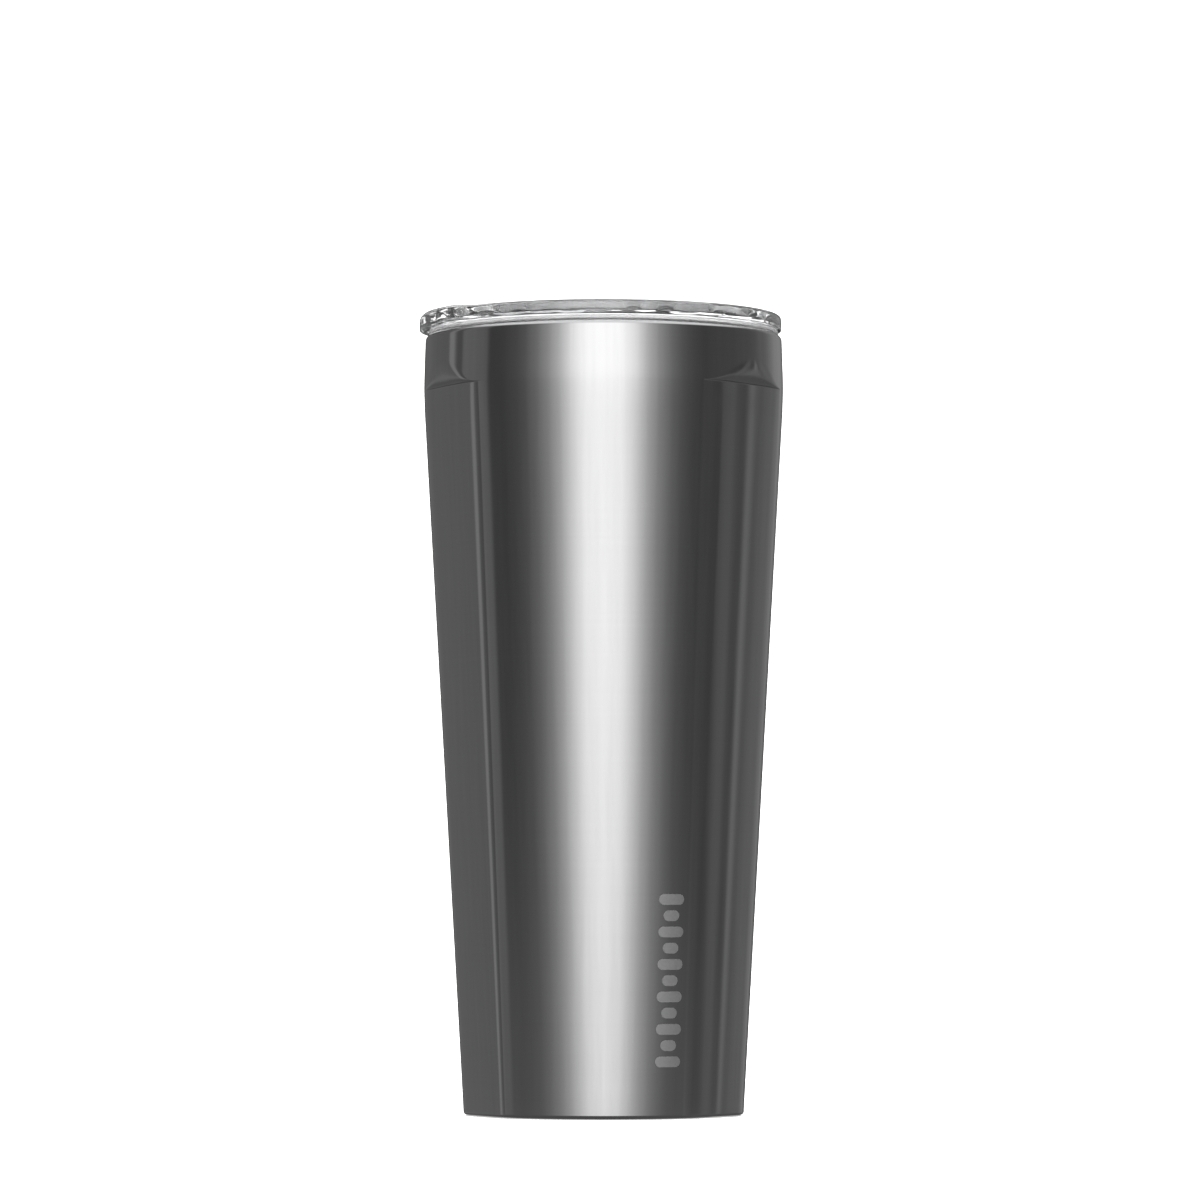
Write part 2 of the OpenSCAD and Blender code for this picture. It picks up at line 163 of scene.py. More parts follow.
def turned(name, profile, count=192, sharpAngle=35):
    # closed profile (r, z), or a function of the angle that gives one, turned about the axis
    shapeAt = profile if callable(profile) else (lambda angle: profile)
    angles = [2 * math.pi * k / count for k in range(count)]
    sections = [shapeAt(angle) for angle in angles]
    points, faces, rings = [], [], []
    for i, (r, z) in enumerate(sections[0]):
        if r == 0:              # a point on the axis is one vertex
            rings.append([len(points)])
            points.append((0, 0, z))
            continue
        rings.append(list(range(len(points), len(points) + count)))
        for angle, section in zip(angles, sections):
            r, z = section[i]
            points.append((r * math.cos(angle), r * math.sin(angle), z))
    for i, ring in enumerate(rings):
        other = rings[(i + 1) % len(rings)]
        if len(ring) == 1 and len(other) == 1:
            continue
        for k in range(count):
            nextK = (k + 1) % count
            if len(ring) == 1:
                faces.append((ring[0], other[nextK], other[k]))
            elif len(other) == 1:
                faces.append((ring[k], ring[nextK], other[0]))
            else:
                faces.append((ring[k], ring[nextK], other[nextK], other[k]))
    return meshObject(name, points, faces, sharpAngle)


def outline(length, width, radius, grow=0, steps=10):
    # rectangle with round corners, as points in the plane
    halfL, halfW = length / 2 + grow, width / 2 + grow
    corner = max(2 * tiny, min(radius + grow, halfL - tiny, halfW - tiny))
    points = []
    for sx, sy, start in ((1, 1, 0), (-1, 1, 90), (-1, -1, 180), (1, -1, 270)):
        points += arcPoints(sx * (halfL - corner), sy * (halfW - corner), corner, start, start + 90, steps)
    return points


def slotShape(length, width):
    # outline with half-round ends, or a circle, for lofted
    return lambda grow: outline(length, width, min(length, width) / 2, grow)


def boxShape(length, width, corner, steps=4):
    return lambda grow: outline(length, width, corner, grow, steps)


def lofted(name, shape, levels, centre=(0, 0), sharpAngle=35):
    # shape(grow) gives the outline, levels are (z, grow) from the bottom up
    points, faces = [], []
    count = 0
    for z, grow in levels:
        ring = shape(grow)
        count = len(ring)
        points += [(centre[0] + x, centre[1] + y, z) for x, y in ring]
    faces += ringFaces(len(levels), count, False)
    faces.append(tuple(reversed(range(count))))
    top = (len(levels) - 1) * count
    faces.append(tuple(range(top, top + count)))
    return meshObject(name, points, faces, sharpAngle)


def softLevels(low, high, edge, steps=4):
    # levels of a flat piece whose two rims are rounded by edge
    bottom = [(low + edge * (1 - math.cos(a)), -edge * (1 - math.sin(a))) for a in quarterTurn(steps)]
    top = [(high - (z - low), grow) for z, grow in reversed(bottom)]
    return bottom + top


def carve(target, cutters, how="DIFFERENCE"):
    # applies each cutter to the target, then takes the cutter away
    for cutter in cutters:
        step = target.modifiers.new("carve", "BOOLEAN")
        step.operation = how
        step.solver = "EXACT"
        step.object = cutter
        depsgraph = bpy.context.evaluated_depsgraph_get()
        done = bpy.data.meshes.new_from_object(target.evaluated_get(depsgraph))
        target.modifiers.remove(step)
        old = target.data
        target.data = done
        done.name = target.name
        bpy.data.meshes.remove(old)
        bpy.data.objects.remove(cutter)


def smoothEdges(piece, sharpAngle=30):
    piece.data.shade_smooth()
    piece.data.set_sharp_from_angle(angle=math.radians(sharpAngle))


# Material helpers
def startMaterial(name, settings):
    material = bpy.data.materials.new(name)
    material.use_nodes = True
    tree = material.node_tree
    shader = tree.nodes["Principled BSDF"]
    for socket, value in settings.items():
        shader.inputs[socket].default_value = value
    return material, tree, shader


def stretchedNoise(tree, scale, detail=3.0, roughness=0.6):
    # noise in object space, stretched by the three scales, in features per metre
    coords = tree.nodes.new("ShaderNodeTexCoord")
    mapping = tree.nodes.new("ShaderNodeMapping")
    mapping.inputs["Scale"].default_value = scale
    noise = tree.nodes.new("ShaderNodeTexNoise")
    noise.inputs["Scale"].default_value = 1.0
    noise.inputs["Detail"].default_value = detail
    noise.inputs["Roughness"].default_value = roughness
    tree.links.new(coords.outputs["Object"], mapping.inputs["Vector"])
    tree.links.new(mapping.outputs["Vector"], noise.inputs["Vector"])
    return noise.outputs["Fac"]


def spread(tree, value, low, high, fromLow=0.3, fromHigh=0.7):
    # maps a noise value on to a wanted range
    node = tree.nodes.new("ShaderNodeMapRange")
    node.inputs["From Min"].default_value = fromLow
    node.inputs["From Max"].default_value = fromHigh
    node.inputs["To Min"].default_value = low
    node.inputs["To Max"].default_value = high
    tree.links.new(value, node.inputs["Value"])
    return node.outputs["Result"]


def tintBetween(tree, value, dark, light):
    node = tree.nodes.new("ShaderNodeMix")
    node.data_type = "RGBA"
    node.inputs["A"].default_value = (*dark, 1)
    node.inputs["B"].default_value = (*light, 1)
    tree.links.new(value, node.inputs["Factor"])
    return node.outputs["Result"]


def addBump(tree, shader, height, strength, distance):
    bump = tree.nodes.new("ShaderNodeBump")
    bump.inputs["Strength"].default_value = strength
    bump.inputs["Distance"].default_value = distance
    tree.links.new(height, bump.inputs["Height"])
    tree.links.new(bump.outputs["Normal"], shader.inputs["Normal"])


# Steel finishes
shellFinish = {
    "dark": (0.278, 0.278, 0.28),
    "light": (0.306, 0.306, 0.309),
    "streakShare": 0.6,      # streaks along the body against rings round it
    "roughness": (0.1, 0.12),
    "anisotropy": 0.85,
    "ringScale": (18, 18, 7000),
    "streakScale": (650, 650, 5),
    "bump": 0.008,
}
brushDepth = 0.00004         # metres, of the brush lines on all the steel


def darkBrushedSteel():
    # rings of fine brush lines, and fainter streaks along the body
    material, tree, shader = startMaterial("darkBrushedSteel", {
        "Metallic": 1.0, "Anisotropic": shellFinish["anisotropy"], "Anisotropic Rotation": 0.25,
    })
    rings = stretchedNoise(tree, shellFinish["ringScale"], 4)
    streaks = stretchedNoise(tree, shellFinish["streakScale"], 3)
    mixed = tree.nodes.new("ShaderNodeMix")
    mixed.data_type = "FLOAT"
    mixed.inputs["Factor"].default_value = shellFinish["streakShare"]
    tree.links.new(rings, mixed.inputs["A"])
    tree.links.new(streaks, mixed.inputs["B"])
    lines = spread(tree, mixed.outputs["Result"], 0, 1)
    tone = tintBetween(tree, lines, shellFinish["dark"], shellFinish["light"])
    tree.links.new(tone, shader.inputs["Base Color"])
    rough = spread(tree, streaks, *shellFinish["roughness"])
    tree.links.new(rough, shader.inputs["Roughness"])
    addBump(tree, shader, rings, shellFinish["bump"], brushDepth)
    return material


def brightSteel(name, tone, roughness, lineScale=(30, 30, 3500), strength=0.08):
    material, tree, shader = startMaterial(name, {"Metallic": 1.0})
    lines = stretchedNoise(tree, lineScale, 3)
    light = tuple(min(1, c * 1.1) for c in tone)
    shade = tintBetween(tree, spread(tree, lines, 0, 1), tone, light)
    tree.links.new(shade, shader.inputs["Base Color"])
    tree.links.new(spread(tree, lines, roughness * 0.8, roughness * 1.25), shader.inputs["Roughness"])
    addBump(tree, shader, lines, strength, brushDepth)
    return material


def clearPlastic(name, tint, roughness=0.012, haze=0.03):
    # haze is the share of the light that the plastic scatters
    material, tree, shader = startMaterial(name, {
        "Base Color": (*tint, 1), "IOR": 1.54, "Transmission Weight": 1 - haze,
    })
    marks = stretchedNoise(tree, (60, 60, 60), 1)
    tree.links.new(spread(tree, marks, roughness * 0.5, roughness * 2), shader.inputs["Roughness"])
    addBump(tree, shader, marks, 0.02, 0.0002)
    return material


def clearSilicone(name, tint):
    material, tree, shader = startMaterial(name, {
        "Base Color": (*tint, 1), "IOR": 1.42, "Transmission Weight": 0.8,
    })
    haze = stretchedNoise(tree, (400, 400, 400), 2)
    tree.links.new(spread(tree, haze, 0.12, 0.25), shader.inputs["Roughness"])
    addBump(tree, shader, haze, 0.05, 0.0001)
    return material


def mattePlain(name, tone, roughness, grain=900, strength=0.2, metallic=0.0):
    material, tree, shader = startMaterial(name, {"Metallic": metallic})
    specks = stretchedNoise(tree, (grain, grain, grain), 3)
    light = tuple(min(1, c * 1.15) for c in tone)
    shade = tintBetween(tree, spread(tree, specks, 0, 1), tone, light)
    rough = spread(tree, specks, roughness * 0.9, min(1, roughness * 1.1))
    tree.links.new(shade, shader.inputs["Base Color"])
    tree.links.new(rough, shader.inputs["Roughness"])
    addBump(tree, shader, specks, strength, 0.00008)
    return material


finishes = {
    "shell": darkBrushedSteel(),
    "liner": brightSteel("satinLiner", (0.6, 0.6, 0.6), 0.28),
    "base": brightSteel("spunBase", (0.5, 0.5, 0.5), 0.3),
    "copper": brightSteel("copperFoil", (0.82, 0.42, 0.28), 0.25),
    "getter": mattePlain("sinteredGetter", (0.16, 0.16, 0.17), 0.8, 2500, 0.5, 0.6),
    "glassBead": mattePlain("solderGlass", (0.12, 0.13, 0.15), 0.15, 600, 0.1),
    "film": mattePlain("adhesiveFilm", (0.8, 0.77, 0.66), 0.6),
    "pad": mattePlain("padSilicone", (0.035, 0.035, 0.037), 0.6, 1800, 0.25),
    "gasket": clearSilicone("gasketSilicone", (0.9, 0.9, 0.9)),
    "lid": clearPlastic("clearLidPlastic", (0.78, 0.785, 0.79)),
    "slider": clearPlastic("clearSliderPlastic", (0.82, 0.83, 0.84)),
    "clip": clearPlastic("naturalClipPlastic", (0.9, 0.92, 0.93), 0.12),
    "mark": mattePlain("etchedSteel", (0.37, 0.37, 0.37), 0.5, 3000, 0.3, 1.0),
}
print("materials made")


def finishPiece(piece, body, finish, slot, *nodes):
    piece.data.materials.clear()
    piece.data.materials.append(finishes[finish])
    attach(piece, body)
    if nodes:
        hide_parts(*nodes)


# Outer shell
shellSet = {
    "footRadius": 34.5,      # before the corner is rounded
    "wideRadius": 44.6,
    "bandRadius": 44.15,     # at the rim
    "bandHeight": 14.6,
    "wideSoftness": 0.4,     # of the widest ring
    "flatCount": 3,
    "flatTurn": 85.5,        # degrees from +X
    "flatHalf": 20.0,
    "flatDrop": 8.0,         # below the rim, where the flats have run out
    "flatBlend": 6.0,        # height of the curve from the ledge out to the band
    "ledge": 0.3,            # radius in the corner between flat and ledge
    "crown": 0.55,           # how far the middle of a flat bulges
    "softness": 1.3,         # of the edge between flat and round, below the band
    "footSoftness": 0.5,     # the same at the foot
    "shoulder": 1.5,
    "footCorner": 0.8,
    "footLip": 1.2,
    "around": 540,
    "plainRows": 40,         # rows below the ledge, in its corner, above it and in the band
    "cornerRows": 6,
    "blendRows": 24,
    "bandRows": 8,
}


def formRadius(z):
    # cone below, slight cone the other way in the band, softly joined
    s = shellSet
    wideZ = rimZ - s["bandHeight"]
    cone = s["footRadius"] + (s["wideRadius"] - s["footRadius"]) * (z - footZ) / (wideZ - footZ)
    band = s["wideRadius"] + (s["bandRadius"] - s["wideRadius"]) * (z - wideZ) / s["bandHeight"]
    near = max(s["wideSoftness"] - abs(cone - band), 0)
    return min(cone, band) - near * near / (4 * s["wideSoftness"])


def smoothStep(t):
    t = max(0.0, min(1.0, t))
    return t * t * (3 - 2 * t)


def flatTop():
    return rimZ - shellSet["flatDrop"]


def flatDistance(z):
    # from the axis to a flat: straight below, round the ledge's corner, then out to the band
    s = shellSet
    ledgeZ = flatTop() - s["flatBlend"]
    low = formRadius(min(z, ledgeZ)) * math.cos(math.radians(s["flatHalf"]))
    corner = s["ledge"]
    if z < ledgeZ - corner:
        return low
    if z < ledgeZ:
        return low + corner - math.sqrt(max(0, corner ** 2 - (z - ledgeZ + corner) ** 2))
    share = min(1, (z - ledgeZ) / s["flatBlend"])
    reach = formRadius(flatTop()) - low - corner
    return low + corner + reach * math.sqrt(max(0, 1 - (1 - share) ** 2))


def bodyRadius(z, angle):
    # round form with its flats, angle in degrees from +X
    s = shellSet
    full = formRadius(z)
    spacing = 360 / s["flatCount"]
    off = (angle - s["flatTurn"] + spacing / 2) % spacing - spacing / 2
    if abs(off) > 45 or z > flatTop() + 3:      # well away from the flat
        return full
    flat = flatDistance(z)
    sunk = min(1, (full - flat) / (full * (1 - math.cos(math.radians(s["flatHalf"])))))
    flat += s["crown"] * max(0, 1 - (off / s["flatHalf"]) ** 2) * sunk ** 2
    # the edge is sharper round the ledge, and the flat runs out into the band without a step
    softness = s["footSoftness"] + (s["softness"] - s["footSoftness"]) * z / rimZ
    softness *= 1 - 0.45 * smoothStep((z - flatTop() + s["flatBlend"] + 2) / 4)
    flat += softness * smoothStep((z - flatTop() + 4) / 6)
    across = flat / math.cos(math.radians(off))
    near = max(softness - abs(full - across), 0)
    return min(full, across) - near * near / (4 * softness)


def shellLevels():
    # heights of the rows on the outside: even below, close together round the ledge
    s = shellSet
    ledgeZ = flatTop() - s["flatBlend"]
    footTop = footZ + s["footCorner"]
    cornerLow = ledgeZ - s["ledge"]
    shoulderLow = rimZ - s["shoulder"]
    plain, band = s["plainRows"], s["bandRows"]
    levels = [footTop + (cornerLow - footTop) * k / plain for k in range(plain)]
    levels += [cornerLow + s["ledge"] * math.sin(a) for a in quarterTurn(s["cornerRows"])[:-1]]
    levels += [ledgeZ + s["flatBlend"] * (1 - math.cos(a)) for a in quarterTurn(s["blendRows"])[:-1]]
    levels += [flatTop() + (shoulderLow - flatTop()) * k / band for k in range(band + 1)]
    return levels


def makeShell():
    s = shellSet
    levels = shellLevels()
    low, high = levels[0], levels[-1]
    corner, top, inner = s["footCorner"], s["shoulder"], s["shoulder"] - sheet
    lip = sheet + s["footLip"]
    # each row is (height that gives the form, inset from the form, own height);
    # a row without an inset lies on the liner's mouth
    rows = [(low, corner * (1 - math.sin(a)), footZ + corner * (1 - math.cos(a)))
            for a in quarterTurn(12)[:-1]]
    rows += [(z, 0, z) for z in levels]
    rows += [(high, top * (1 - math.cos(a)), rimZ - top + top * math.sin(a)) for a in quarterTurn(12)[1:]]
    rows += [(high, None, rimZ), (high, None, rimZ - sheet), (high, top, rimZ - sheet)]
    rows += [(high, top - inner * math.cos(a), rimZ - top + inner * math.sin(a))
             for a in reversed(quarterTurn(6)[:-1])]
    # down the inside with fewer rows, and round the lip at the foot
    rows += [(z, sheet, z + sheet) for z in levels[-3:s["plainRows"] + 2:-3]]
    rows += [(z, sheet, z) for z in levels[s["plainRows"] - 10::-10]]
    rows += [(low, sheet + 0.15, footZ + sheet + 0.1), (low, sheet + 0.4, footZ + sheet),
             (low, lip, footZ + sheet), (low, lip, footZ)]
    points = []
    count = s["around"]
    for formZ, inset, z in rows:
        for k in range(count):
            angle = 360 * k / count
            r = mouthOuter if inset is None else bodyRadius(formZ, angle) - inset
            points.append((r * math.cos(math.radians(angle)), r * math.sin(math.radians(angle)), z))
    shell = meshObject("outerShell", points, ringFaces(len(rows), count, True), 50)
    finishPiece(shell, "vessel", "shell", "shell_steel", "outer_shell")


makeShell()
print("outer shell made")

# Liner: wall and cup, one clean steel surface inside
linerSet = {
    "flatShare": math.cos(math.radians(shellSet["flatHalf"])),     # keeps it inside the flats
    "wallGap": 1.2,
    "mouthDepth": 9.0,
    "stepHeight": 1.8,       # of the slope between wall and mouth
    "bend": 1.2,
    "floorRadius": 5.0,
    "domeRadius": 18.0,      # the middle of the floor rises a little
    "domeRise": 0.6,
    "lip": 0.35,             # rounding of the mouth's inner edge
    "around": 256,
}


def linerRadius(z):
    return linerSet["flatShare"] * formRadius(z) - sheet - linerSet["wallGap"]


def makeLiner():
    s = linerSet
    weldZ = lowOf("liner_wall", 2)
    stepTop = rimZ - s["mouthDepth"]
    stepLow = stepTop - s["stepHeight"]
    low, high = linerRadius(weldZ), linerRadius(stepLow)
    wall = turned("linerWall", roundedProfile([
        (low, weldZ, 0), (high, stepLow, s["bend"]), (mouthOuter, stepTop, s["bend"]),
        (mouthOuter, rimZ, 0), (mouthInner, rimZ, s["lip"]), (mouthInner, stepTop, s["bend"]),
        (high - sheet, stepLow, s["bend"]), (low - sheet, weldZ, 0),
    ]), s["around"])
    finishPiece(wall, "vessel", "liner", "liner_steel", "liner_wall")
    cupZ = lowOf("liner_cup", 2)
    outer = s["floorRadius"] + sheet
    base = linerRadius(cupZ + outer) - outer
    dome = [(s["domeRadius"] * k / 6, s["domeRise"] * (1 - (k / 6) ** 2) ** 2) for k in range(7)]
    profile = [(r, cupZ + rise) for r, rise in dome]
    profile += arcPoints(base, cupZ + outer, outer, -90, 0, 12)
    profile += [(low, weldZ), (low - sheet, weldZ)]
    profile += arcPoints(base, cupZ + outer, s["floorRadius"], 0, -90, 12)
    profile += [(r, cupZ + sheet + rise) for r, rise in reversed(dome)]
    cup = turned("linerCup", profile, s["around"])
    finishPiece(cup, "vessel", "liner", "liner_steel", "liner_cup")


makeLiner()
print("liner made")

# Base: the pad is a turned piece, the film and the pressed dishes keep their CAD shape
padSet = {"edge": 0.45, "grooveDepth": 0.3, "grooves": (0.5, 0.8), "grooveWidth": 1.6}


def makePad():
    s = padSet
    thick = highOf("base_pad", 2)
    corners = [(0, thick, 0), (padRadius, thick, 0.1), (padRadius, 0, s["edge"])]
    for share in reversed(s["grooves"]):
        r, half = padRadius * share, s["grooveWidth"] / 2
        corners += [(r + half, 0, 0.15), (r + half * 0.8, s["grooveDepth"], 0.1),
                    (r - half * 0.8, s["grooveDepth"], 0.1), (r - half, 0, 0.15)]
    corners.append((0, 0, 0))
    pad = turned("basePad", roundedProfile(corners), 160)
    finishPiece(pad, "vessel", "pad", "pad_silicone", "base_pad")


makePad()
for nodeName, finish in (
    ("copper_wrap", "copper"), ("vacuum_base", "base"), ("seal_bead", "glassBead"),
    ("getter_pellet", "getter"), ("getter_clip", "base"), ("base_cover", "base"), ("pad_film", "film"),
):
    node = cadNodes[nodeName]
    node.data.materials.clear()
    node.data.materials.append(finishes[finish])
print("base made")

# Lid
lidSet = {
    "height": 3.7,           # of the rim above the underside
    "edge": 1.0,             # rounding of the rim's outer edge
    "rimWidth": 2.9,
    "deckOver": 1.5,
    "deckThick": 2.3,
    "slope": 2.8,            # from the rim's inside down to the deck
    "lipRise": 0.7,          # how far the drinking side rises and stands out
    "lipOver": 1.6,
    "lipRound": 37.0,        # radius of the lip seen from above
    "lipEdge": 2.3,
    "lipHalf": 30.0,         # degrees, half of the raised part, and how fast it fades
    "lipFade": 14.0,
    "waviness": 0.32,        # of the inside of the rim, most at the front and the back
    "skirt": 1.8,
    "skirtBead": 1.1,
    "beadHeight": 1.5,
    "gasketRoom": 2.7,
    "channelDepth": 0.8,
    "channelCorner": 1.5,
    "sipLength": 17.0,
    "sipWidth": 8.0,
    "airWidth": 2.4,
    "holeEdge": 0.3,         # softened edge of the holes and the channel
    "around": 288,
}
runGap = 0.2                 # clearance round the slider
slotGap = 0.24               # clearance round its post
lidTop = lidUnder + lidSet["height"]
deckZ = lidUnder + lidSet["deckOver"]
underZ = deckZ - lidSet["deckThick"]
plugRadius = mouthInner - lidSet["gasketRoom"]
skirtZ = lowOf("lid_body", 2)
channelZ = deckZ - lidSet["channelDepth"]
channelRadius = plugRadius - lidSet["skirt"] / 2
sliderLow, sliderHigh = lowOf("lid_slider", 0), highOf("lid_slider", 0)
sliderWidth = highOf("lid_slider", 1) * 2
sliderTravel = jointEnd("slider_slide")
sealX = (lowOf("slider_seal", 0) + highOf("slider_seal", 0)) / 2
postSize = (6.0, 4.6)
postX = sliderLow + sliderTravel + postSize[0] / 2


def makeLid():
    s = lidSet
    rimInner = lidRadius - s["rimWidth"]
    deckRadius = rimInner - s["slope"]
    shift = lidRadius + s["lipOver"] - s["lipRound"]

    def wave(angle, *turns):
        # slight unevenness that moulding leaves inside the rim, between -1 and 1
        return sum(math.sin(n * angle + 1.7 * n) for n in turns) / len(turns)

    def sectionAt(angle):
        # rim, slope, deck, skirt and bead; the rim grows into a lip on the drinking side
        toLip = math.pi - angle
        reach = shift * math.cos(toLip)
        reach += math.sqrt(s["lipRound"] ** 2 - (shift * math.sin(toLip)) ** 2)
        over = reach - lidRadius
        over = over if over > 1 else max(0, over + 1) ** 2 / 4
        share = 1 - smoothStep((abs(math.degrees(toLip)) - s["lipHalf"]) / s["lipFade"])
        high = lidTop + s["lipRise"] * share
        edge = s["edge"] + (s["lipEdge"] - s["edge"]) * share
        outside = lidRadius + over
        bead = plugRadius + s["skirtBead"]
        inside = plugRadius - s["skirt"]
        rough = s["waviness"] * (0.35 + 0.65 * abs(math.sin(angle)))
        rimIn = rimInner + rough * wave(angle, 9, 14, 23, 40)
        slopeIn = deckRadius + 2 * rough * wave(angle, 11, 19, 34)
        deckIn = deckZ + rough * wave(angle, 7, 16, 27)
        section = roundedProfile([
            (inside, underZ, 0.5), (inside, skirtZ, 0.3), (bead, skirtZ, 0.6),
            (bead, skirtZ + s["beadHeight"], 0.15), (plugRadius, skirtZ + s["beadHeight"], 0.1),
            (plugRadius, lidUnder, 0.1), (outside, lidUnder, 0.4), (outside, high, edge),
            (rimIn, high, 0.6), (slopeIn, deckIn, 1.2), (deckRadius - 3, deckZ, 0),
        ], 8)
        return section + [(0, deckZ), (0, underZ)]

    def channelShape(grow):
        # round end on the drinking side, square end with soft corners
        reach = channelRadius + grow
        halfW = sliderWidth / 2 + runGap + grow
        corner = s["channelCorner"]
        endX = sliderHigh + runGap + grow - corner
        start = math.degrees(math.asin(halfW / reach))
        points = arcPoints(0, 0, reach, 180 - start, 180 + start, 40)
        points += arcPoints(endX, corner - halfW, corner, -90, 0, 6)
        points += arcPoints(endX, halfW - corner, corner, 0, 90, 6)
        return points

    # the drinking hole is where the slider's seal lies when closed, the air hole opposite
    sipX = sealX - sliderTravel
    soft = s["holeEdge"]
    flare = [(channelZ, 0), (deckZ - 0.25, 0), (deckZ - 0.08, 0.08), (deckZ + tiny, soft), (deckZ + 1, soft)]
    through = [(underZ - 1, 0.5), (underZ - tiny, 0.5), (underZ + 0.2, 0.14), (underZ + 0.5, 0),
               (channelZ - 0.3, 0), (channelZ - 0.08, 0.08), (channelZ + tiny, soft), (channelZ + 3, soft)]
    air = [(underZ - 1, soft), (underZ - tiny, soft), (underZ + 0.3, 0), (deckZ - 0.3, 0),
           (deckZ + tiny, soft), (deckZ + 1, soft)]
    straight = [(underZ - 1, 0), (channelZ + 1, 0)]
    slot = boxShape(postSize[0] + sliderTravel + 2 * slotGap, postSize[1] + 2 * slotGap, 0.3)
    lid = turned("lidBody", sectionAt, s["around"])
    carve(lid, [
        lofted("channelCut", channelShape, flare),
        lofted("sipCut", slotShape(s["sipWidth"], s["sipLength"]), through, (sipX, 0)),
        lofted("airCut", slotShape(s["airWidth"], s["airWidth"]), air, (-sipX, 0)),
        lofted("slotCut", slot, straight, (postX - sliderTravel / 2, 0)),
    ])
    smoothEdges(lid)
    finishPiece(lid, "lid", "lid", "clear_lid", "lid_body")


makeLid()
print("lid made")

# Gasket: sleeve on the plug, lip on the steel rim, fins against the mouth
gasketSet = {
    "sleeve": 1.7,
    "fins": 2,
    "finTip": 0.5,           # height of a fin at its tip and at its root
    "finRoot": 1.4,
    "around": 224,
}


def makeGasket():
    s = gasketSet
    low, high = lowOf("lid_gasket", 2), highOf("lid_gasket", 2)
    inner = plugRadius + sealGap
    sleeve = inner + s["sleeve"]
    lipZ = rimZ + sealGap
    lipRadius = highOf("lid_gasket", 0)
    finRadius = mouthInner - sealGap
    pitch = (lipZ - low) / (s["fins"] + 1)
    corners = [(inner, high, 0.1), (inner, low, 0.2), (sleeve - 0.3, low, 0.3)]
    for k in range(s["fins"]):
        z = low + (k + 0.5) * pitch
        corners += [(sleeve, z - s["finTip"], 0.15), (finRadius, z, 0.12),
                    (finRadius, z + s["finTip"], 0.12), (sleeve, z - s["finTip"] + s["finRoot"], 0.2)]
    corners += [(sleeve, lipZ, 0.2), (lipRadius, lipZ, 0.3), (lipRadius, high, 0.3)]
    gasket = turned("lidGasket", roundedProfile(corners), s["around"])
    finishPiece(gasket, "lid_seal", "gasket", "gasket_silicone", "lid_gasket")


makeGasket()
print("gasket made")

# Slider, its clip and its seal
sliderSet = {
    "lift": 0.1,             # clearance under the plate
    "thick": 1.6,
    "corner": 3.0,
    "edge": 0.35,
    "ridges": 3,             # the middle one is full height, the others half
    "ridgeHeight": 1.2,
    "ridgeLength": 15.0,
    "ridgeWidth": 3.2,
    "ridgePitch": 5.12,
    "ridgeEdge": 0.5,
    "barb": 0.5,             # how far the post's foot stands out under the clip
    "clipSize": (12.0, 14.0),
    "clipCorner": 2.0,
}


def makePlate(low, high):
    s = sliderSet

    def plateShape(grow):
        # round front that follows the channel's end, square back with soft corners
        reach = channelRadius - runGap + grow
        half = sliderWidth / 2 + grow
        corner = s["corner"] + grow
        endX = sliderHigh + grow - corner
        start = math.degrees(math.asin(half / reach))
        points = arcPoints(sliderTravel, 0, reach, 180 - start, 180 + start, 40)
        points += arcPoints(endX, corner - half, corner, -90, 0, 8)
        points += arcPoints(endX, half - corner, corner, 0, 90, 8)
        return points

    return lofted("lidSlider", plateShape, softLevels(low, high, s["edge"]))


def makeRidges(high):
    s = sliderSet
    ridges = []
    middle = (s["ridges"] - 1) / 2
    edge = s["ridgeEdge"]
    for k in range(s["ridges"]):
        tall = s["ridgeHeight"] if k == middle else s["ridgeHeight"] / 2
        levels = [(high - 0.3, 0.5), (high + 0.02, 0.3), (high + 0.15, 0.08), (high + 0.3, 0)]
        levels += [(high + tall - edge * (1 - math.sin(a)), -edge * (1 - math.cos(a)))
                   for a in quarterTurn(5)]
        x = (sliderLow + sliderHigh) / 2 + (k - middle) * s["ridgePitch"]
        ridges.append(lofted("ridge", slotShape(s["ridgeWidth"], s["ridgeLength"]), levels, (x, 0)))
    return ridges


def makeSlider():
    s = sliderSet
    low = channelZ + s["lift"]
    high = low + s["thick"]
    postLow, clipLow = lowOf("lid_slider", 2), lowOf("slider_clip", 2)
    sealLow, sealTop = lowOf("slider_seal", 2), highOf("slider_seal", 2)
    length, width = postSize
    sealShape = slotShape(2 * (highOf("slider_seal", 0) - sealX), 2 * highOf("slider_seal", 1))
    plate = makePlate(low, high)
    carve(plate, makeRidges(high) + [
        lofted("post", boxShape(length, width, 0.3), [(postLow + 0.2, 0), (low + 0.3, 0)], (postX, 0)),
        lofted("barb", boxShape(length + 2 * s["barb"], width, 0.3),
               [(postLow, -0.3), (postLow + 0.35, 0), (clipLow - 0.04, 0)], (postX, 0)),
    ], "UNION")
    carve(plate, [lofted("pocket", sealShape, [(low - 1, 0.04), (sealTop + 0.02, 0.04)], (sealX, 0))])
    smoothEdges(plate)
    finishPiece(plate, "slider", "slider", "clear_slider", "lid_slider")
    seal = lofted("sliderSeal", sealShape, softLevels(sealLow, sealTop, 0.15), (sealX, 0))
    finishPiece(seal, "slider", "gasket", "gasket_silicone", "slider_seal")
    clip = lofted("sliderClip", boxShape(*s["clipSize"], s["clipCorner"], 10),
                  softLevels(clipLow, highOf("slider_clip", 2), 0.3), (postX, 0))
    carve(clip, [lofted("postHole", boxShape(length + 0.08, width + 0.08, 0.3),
                        [(clipLow - 1, 0), (clipLow + 3, 0)], (postX, 0))])
    smoothEdges(clip)
    finishPiece(clip, "slider", "clip", "clip_plastic", "slider_clip")


makeSlider()
print("slider made")

